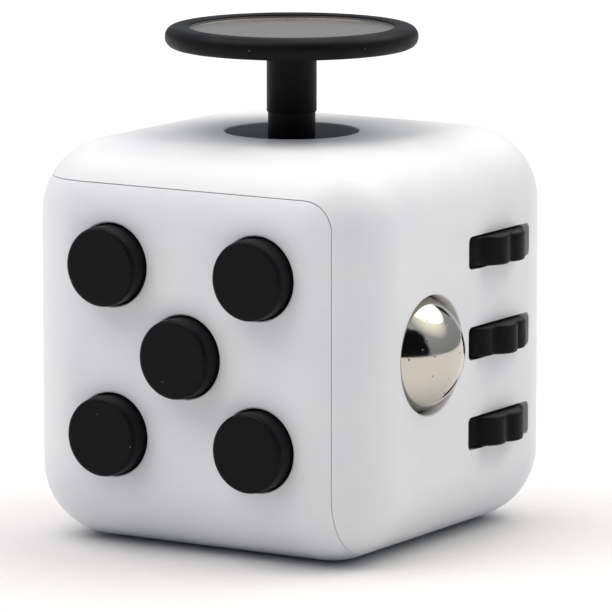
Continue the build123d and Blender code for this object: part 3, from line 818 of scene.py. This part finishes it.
# %% Moulded white ABS
def moulded_white_abs():
    material, tree, place = start_material("moulded_white_abs")
    grain = add(tree, "TexNoise", {"Vector": place, "Scale": per(0.16 * mm), "Detail": 3.0,
                                   "Roughness": 0.6})
    waves = add(tree, "TexNoise", {"Vector": place, "Scale": per(7 * mm), "Detail": 2.0})
    handling = add(tree, "TexNoise", {"Vector": place, "Scale": per(11 * mm), "Detail": 4.0,
                                      "Roughness": 0.62})
    specks = add(tree, "TexVoronoi", {"Vector": place, "Scale": per(2.6 * mm)})
    tone = add(tree, "MapRange", {"Value": handling.outputs["Fac"], "From Min": 0.3, "From Max": 0.7})
    cream = add(tree, "MixRGB", {"Fac": tone.outputs["Result"], "Color1": colour("#e2e5ea"),
                                 "Color2": colour("#e9ebee")})
    dust = add(tree, "Math", {0: specks.outputs["Distance"], 1: 0.022}, operation="LESS_THAN")
    faint_dust = add(tree, "Math", {0: dust.outputs["Value"], 1: 0.5}, operation="MULTIPLY")
    paint = add(tree, "MixRGB", {"Fac": faint_dust.outputs["Value"], "Color1": cream.outputs["Color"],
                                 "Color2": colour("#a9a6a1")})
    gloss = add(tree, "MapRange", {"Value": handling.outputs["Fac"], "From Min": 0.3, "From Max": 0.7,
                                   "To Min": 0.36, "To Max": 0.47})
    swell = add(tree, "Bump", {"Height": waves.outputs["Fac"], "Distance": 0.010 * mm, "Strength": 1.0})
    relief = add(tree, "Bump", {"Height": grain.outputs["Fac"], "Distance": 0.004 * mm, "Strength": 0.8,
                                "Normal": swell.outputs["Normal"]})
    finish_material(tree, {"Base Color": paint.outputs["Color"], "Roughness": gloss.outputs["Result"],
                           "IOR": 1.54, "Normal": relief.outputs["Normal"]})
    return material


# %% [markdown]
# ### Moulded black ABS
# The controls are the same plastic in black. Black shows what white hides: each grain of dust is a
# pale speck, the mould's grain greys the highlights, and a thumb polishes faint bright patches. The
# specks are cells of a Voronoi pattern of which only a few, chosen by the cell's own random colour,
# carry a dot.

# %% Moulded black ABS
def moulded_black_abs(name, low_gloss, high_gloss, shine, dust, deep="#08090c", pale="#111216"):
    """Roughness runs between two values, shine is the specular level, dust the strength of the specks."""
    material, tree, place = start_material(name)
    grain = add(tree, "TexNoise", {"Vector": place, "Scale": per(0.22 * mm), "Detail": 4.0,
                                   "Roughness": 0.65})
    handling = add(tree, "TexNoise", {"Vector": place, "Scale": per(3.5 * mm), "Detail": 4.0,
                                      "Roughness": 0.6})
    specks = add(tree, "TexVoronoi", {"Vector": place, "Scale": per(0.8 * mm)})
    tone = add(tree, "MapRange", {"Value": grain.outputs["Fac"], "From Min": 0.3, "From Max": 0.7})
    black = add(tree, "MixRGB", {"Fac": tone.outputs["Result"], "Color1": colour(deep),
                                 "Color2": colour(pale)})
    dot = add(tree, "Math", {0: specks.outputs["Distance"], 1: 0.07}, operation="LESS_THAN")
    chance = add(tree, "SeparateColor", {"Color": specks.outputs["Color"]})
    chosen = add(tree, "Math", {0: chance.outputs["Red"], 1: 0.78}, operation="GREATER_THAN")
    mask = add(tree, "Math", {0: dot.outputs["Value"], 1: chosen.outputs["Value"]}, operation="MULTIPLY")
    faint = add(tree, "Math", {0: mask.outputs["Value"], 1: dust}, operation="MULTIPLY")
    paint = add(tree, "MixRGB", {"Fac": faint.outputs["Value"], "Color1": black.outputs["Color"],
                                 "Color2": colour("#8c8d90")})
    gloss = add(tree, "MapRange", {"Value": handling.outputs["Fac"], "From Min": 0.35, "From Max": 0.65,
                                   "To Min": low_gloss, "To Max": high_gloss})
    relief = add(tree, "Bump", {"Height": grain.outputs["Fac"], "Distance": 0.006 * mm, "Strength": 1.0})
    finish_material(tree, {"Base Color": paint.outputs["Color"], "Roughness": gloss.outputs["Result"],
                           "IOR": 1.54, "Specular IOR Level": shine, "Normal": relief.outputs["Normal"]})
    return material


# %% [markdown]
# ### Polished steel
# The ball is bearing steel with a bright plating. Its colour is all reflection, a touch warm. What
# keeps it from looking like a drawing of a mirror is small: hair scratches from rolling, a few pits,
# and the greasy bloom of fingers. Pits are chosen Voronoi cells again, and the scratches are a noise
# that is stretched long and thin.

# %% Polished steel
def polished_steel():
    material, tree, place = start_material("polished_bearing_steel")
    long_way = add(tree, "Mapping", {"Vector": place, "Rotation": (0.5, 0.4, 0.9), "Scale": (1, 14, 14)})
    scratches = add(tree, "TexNoise", {"Vector": long_way.outputs["Vector"], "Scale": per(1.6 * mm),
                                       "Detail": 5.0, "Roughness": 0.7})
    bloom = add(tree, "TexNoise", {"Vector": place, "Scale": per(2.2 * mm), "Detail": 4.0,
                                   "Roughness": 0.6})
    cells = add(tree, "TexVoronoi", {"Vector": place, "Scale": per(0.42 * mm)})
    chance = add(tree, "SeparateColor", {"Color": cells.outputs["Color"]})
    near = add(tree, "MapRange", {"Value": cells.outputs["Distance"], "From Min": 0.08, "From Max": 0.26,
                                  "To Min": 1.0, "To Max": 0.0})
    chosen = add(tree, "Math", {0: chance.outputs["Green"], 1: 0.84}, operation="GREATER_THAN")
    pits = add(tree, "Math", {0: near.outputs["Result"], 1: chosen.outputs["Value"]}, operation="MULTIPLY")
    line = add(tree, "MapRange", {"Value": scratches.outputs["Fac"], "From Min": 0.60, "From Max": 0.72})
    dull = add(tree, "MixRGB", {"Fac": pits.outputs["Value"], "Color1": colour("#bfbbb1"),
                                "Color2": colour("#6e665c")})
    gloss = add(tree, "MapRange", {"Value": bloom.outputs["Fac"], "From Min": 0.4, "From Max": 0.75,
                                   "To Min": 0.05, "To Max": 0.16})
    worn = add(tree, "Math", {0: line.outputs["Result"], 1: 0.10, 2: gloss.outputs["Result"]},
               operation="MULTIPLY_ADD")
    pitted = add(tree, "Math", {0: pits.outputs["Value"], 1: -1.0}, operation="MULTIPLY")
    relief = add(tree, "Bump", {"Height": pitted.outputs["Value"], "Distance": 0.012 * mm, "Strength": 1.0})
    scored = add(tree, "Bump", {"Height": scratches.outputs["Fac"], "Distance": 0.0015 * mm,
                                "Strength": 1.0, "Normal": relief.outputs["Normal"]})
    finish_material(tree, {"Base Color": dull.outputs["Color"], "Metallic": 1.0,
                           "Roughness": worn.outputs["Value"], "Normal": scored.outputs["Normal"]})
    return material


# %% [markdown]
# ### Inside the cube
# The hidden parts have their own finishes, simpler but true: natural acetal is milky and slippery,
# zinc plating is a mottled silver with a faint blue passivation, spring steel is drawn bright with
# fine lines along it, and the silicone cups are cloudy and soft.

# %% Inner finishes
def milky_plastic(name, pale, deep, rough, grain_size):
    material, tree, place = start_material(name)
    cloud = add(tree, "TexNoise", {"Vector": place, "Scale": per(4 * mm), "Detail": 3.0})
    grain = add(tree, "TexNoise", {"Vector": place, "Scale": per(grain_size), "Detail": 2.0})
    paint = add(tree, "MixRGB", {"Fac": cloud.outputs["Fac"], "Color1": colour(pale),
                                 "Color2": colour(deep)})
    gloss = add(tree, "MapRange", {"Value": cloud.outputs["Fac"], "To Min": rough - 0.06,
                                   "To Max": rough + 0.06})
    relief = add(tree, "Bump", {"Height": grain.outputs["Fac"], "Distance": 0.004 * mm, "Strength": 1.0})
    finish_material(tree, {"Base Color": paint.outputs["Color"], "Roughness": gloss.outputs["Result"],
                           "IOR": 1.48, "Normal": relief.outputs["Normal"]})
    return material


def plated_steel(name, bright, dark, rough, stretch):
    """Stretch above one draws the mottle out into lines along Z, as on drawn wire and strip."""
    material, tree, place = start_material(name)
    along = add(tree, "Mapping", {"Vector": place, "Scale": (1, 1, 1 / stretch)})
    mottle = add(tree, "TexNoise", {"Vector": along.outputs["Vector"], "Scale": per(0.5 * mm),
                                    "Detail": 4.0, "Roughness": 0.7})
    paint = add(tree, "MixRGB", {"Fac": mottle.outputs["Fac"], "Color1": colour(bright),
                                 "Color2": colour(dark)})
    gloss = add(tree, "MapRange", {"Value": mottle.outputs["Fac"], "To Min": rough - 0.1,
                                   "To Max": rough + 0.1})
    relief = add(tree, "Bump", {"Height": mottle.outputs["Fac"], "Distance": 0.003 * mm, "Strength": 1.0})
    finish_material(tree, {"Base Color": paint.outputs["Color"], "Metallic": 1.0,
                           "Roughness": gloss.outputs["Result"], "Normal": relief.outputs["Normal"]})
    return material


finishes = {
    "white_abs": moulded_white_abs(),
    "black_abs": moulded_black_abs("moulded_black_abs", 0.40, 0.54, 0.09, 0.6),
    "ball_steel": polished_steel(),
    "inner_acetal": milky_plastic("moulded_natural_acetal", "#dedcd4", "#cfccc2", 0.38, 0.3 * mm),
    "silicone": milky_plastic("moulded_silicone", "#c9cbd0", "#b4b8c0", 0.55, 0.5 * mm),
    "zinc_steel": plated_steel("zinc_plated_steel", "#cfd3d8", "#a4abb5", 0.34, 1),
    "spring_steel": plated_steel("bright_drawn_spring_steel", "#c9c7c2", "#908d88", 0.28, 8),
}
print("finishes:", ", ".join(material.name for material in finishes.values()))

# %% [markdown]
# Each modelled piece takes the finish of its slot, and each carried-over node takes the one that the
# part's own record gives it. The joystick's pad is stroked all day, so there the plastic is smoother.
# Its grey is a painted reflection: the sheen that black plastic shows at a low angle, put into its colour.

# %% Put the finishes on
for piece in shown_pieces():
    if "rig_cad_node" not in piece:
        piece.data.materials.clear()
        piece.data.materials.append(finishes[piece["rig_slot"]])
for subpart in frame["record"]["subparts"]:
    node = frame["nodes"][subpart["node"]]
    for holder in node.material_slots:
        holder.material = finishes[subpart["material_slot"]]

# The pad's two grey colours are a painted reflection, the grazing sheen of black plastic put in as colour.
pad_painted_sheen_finish = moulded_black_abs("black_abs_pad_painted_sheen", 0.26, 0.36, 0.9, 0.0, "#5c5b5a", "#73716f")
pad_floor = disc_top - 1.2 * pad_depth
disc.data.materials.append(pad_painted_sheen_finish)
for face_of_disc in disc.data.polygons:
    spot = face_of_disc.center
    on_pad = spot.xy.length < pad_radius and spot.z > pad_floor
    face_of_disc.material_index = 1 if on_pad else 0

# %% [markdown]
# ## Table, light and camera
# The object stands on a plain pale table. The sky is duller near the horizon, and two broad soft
# lamps high up on opposite sides leave only a faint shadow each way. A mirror ball needs something
# bright and something dark to reflect, or it looks like chalk, so the sky has a window and a ragged
# dark patch. The camera itself sees the sky plain white.

# %% Table
deselect()
bpy.ops.mesh.primitive_circle_add(vertices=96, radius=3.0, fill_type="NGON", location=(0, 0, -0.02 * mm))
table = settle("table")
material, tree, place = start_material("pale_paper_sweep")
fibre = add(tree, "TexNoise", {"Vector": place, "Scale": per(1.2 * mm), "Detail": 4.0})
paint = add(tree, "MixRGB", {"Fac": fibre.outputs["Fac"], "Color1": colour("#dededf"),
                             "Color2": colour("#e4e4e5")})
finish_material(tree, {"Base Color": paint.outputs["Color"], "Roughness": 0.9, "Specular IOR Level": 0.1})
table.data.materials.append(material)

# %% Camera
camera_azimuth = radians(31.6)
camera_height = radians(9.3)
camera_distance = 490.4 * mm
camera_target = Vector((2.54 * mm, 0, 18.59 * mm))
toward_camera = Vector((sin(camera_azimuth) * cos(camera_height), -cos(camera_azimuth) * cos(camera_height),
                        sin(camera_height)))
deselect()
bpy.ops.object.camera_add(location=camera_target + toward_camera * camera_distance)
camera = bpy.context.object
camera.rotation_euler = (-toward_camera).to_track_quat("-Z", "Y").to_euler()
camera.data.sensor_width = 36
camera.data.lens = 350.6
camera.data.shift_x = -0.0197
bpy.context.scene.camera = camera

# %% Light
sky_strength = 0.62
world = bpy.data.worlds.new("studio_sky")
bpy.context.scene.world = world
world.use_nodes = True
tree = world.node_tree
tree.nodes.clear()
direction = add(tree, "TexCoord").outputs["Generated"]
cloudy = add(tree, "TexNoise", {"Vector": direction, "Scale": 3.0, "Detail": 3.0})


def toward(way, low, high, ragged=0.0):
    """How far a sky direction lies within a round patch, from none at one cosine to full at another."""
    along = add(tree, "VectorMath", {0: direction, 1: Vector(way).normalized()}, operation="DOT_PRODUCT")
    torn = add(tree, "Math", {0: cloudy.outputs["Fac"], 1: ragged, 2: along.outputs["Value"]},
               operation="MULTIPLY_ADD")
    patch = add(tree, "MapRange", {"Value": torn.outputs["Value"], "From Min": low, "From Max": high})
    return patch.outputs["Result"]


height = toward((0, 0, 1), 0.0, 0.75)
air = add(tree, "MixRGB", {"Fac": height, "Color1": colour("#bfc4cc"), "Color2": colour("#eef3fc")})
window_way = (0.50, 0.35, 0.80)
window_glow = (2.5, 2.45, 2.25, 1)
window = add(tree, "MixRGB", {"Fac": toward(window_way, 0.84, 0.98), "Color1": air.outputs["Color"],
                              "Color2": window_glow})
dark_way = (0.62, -0.74, 0.27)
dark = toward(dark_way, 0.84, 0.90, 0.2)
sky = add(tree, "MixRGB", {"Fac": dark, "Color1": window.outputs["Color"], "Color2": colour("#1c1d20")})
seen = add(tree, "LightPath").outputs["Is Camera Ray"]
plain_white = (1.9, 1.9, 1.9, 1)
shown = add(tree, "MixRGB", {"Fac": seen, "Color1": sky.outputs["Color"], "Color2": plain_white})
light = add(tree, "Background", {"Color": shown.outputs["Color"], "Strength": sky_strength})
add(tree, "OutputWorld", {"Surface": light.outputs["Background"]})

lamps = [("left_lamp", (-0.34, -0.24, 0.91), 2.0), ("right_lamp", (0.16, 0.50, 0.85), 1.4)]
for name, way, strength in lamps:
    deselect()
    bpy.ops.object.light_add(type="SUN", rotation=Vector(way).to_track_quat("Z", "Y").to_euler())
    lamp = bpy.context.object
    lamp.name = name
    lamp.data.energy = strength
    lamp.data.angle = radians(55)
    lamp.data.color = colour("#fff8f0")[:3]
bpy.context.scene.view_settings.view_transform = "Standard"
